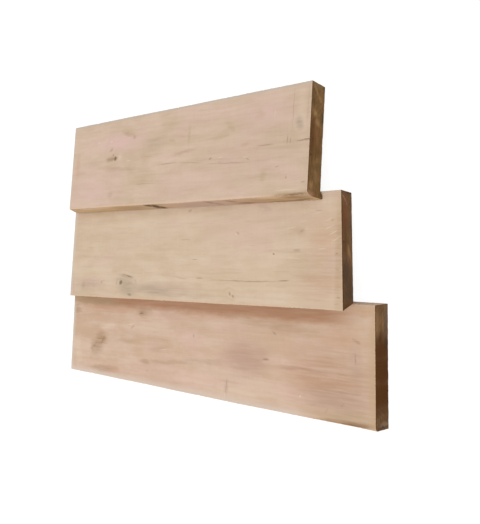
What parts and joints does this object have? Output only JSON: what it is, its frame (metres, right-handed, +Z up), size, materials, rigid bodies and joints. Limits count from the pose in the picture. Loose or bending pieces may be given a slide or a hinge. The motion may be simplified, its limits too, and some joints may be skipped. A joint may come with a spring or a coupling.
{
  "type": "stack of sawn planks",
  "caption": "Rough-sawn softwood planks lying overlapped like shingles, each with one edge on the next plank and its cut ends stepped.",
  "frame": {"origin": "on the floor, under the middle of the stack's bounding box", "axes": "+X along the planks, towards their stepped ends; +Y from the plank that lies flat towards the planks that lean on it; +Z up"},
  "size_m": [0.6538, 0.4392, 0.0469],
  "materials": {
    "plank_bottom": "rough sawn, untreated",
    "plank_middle": "rough sawn, untreated",
    "plank_top": "rough sawn, untreated"
  },
  "bodies": {
    "root": {"plank_bottom": "plank_bottom", "plank_middle": "plank_middle", "plank_top": "plank_top"}
  },
  "joints": []
}
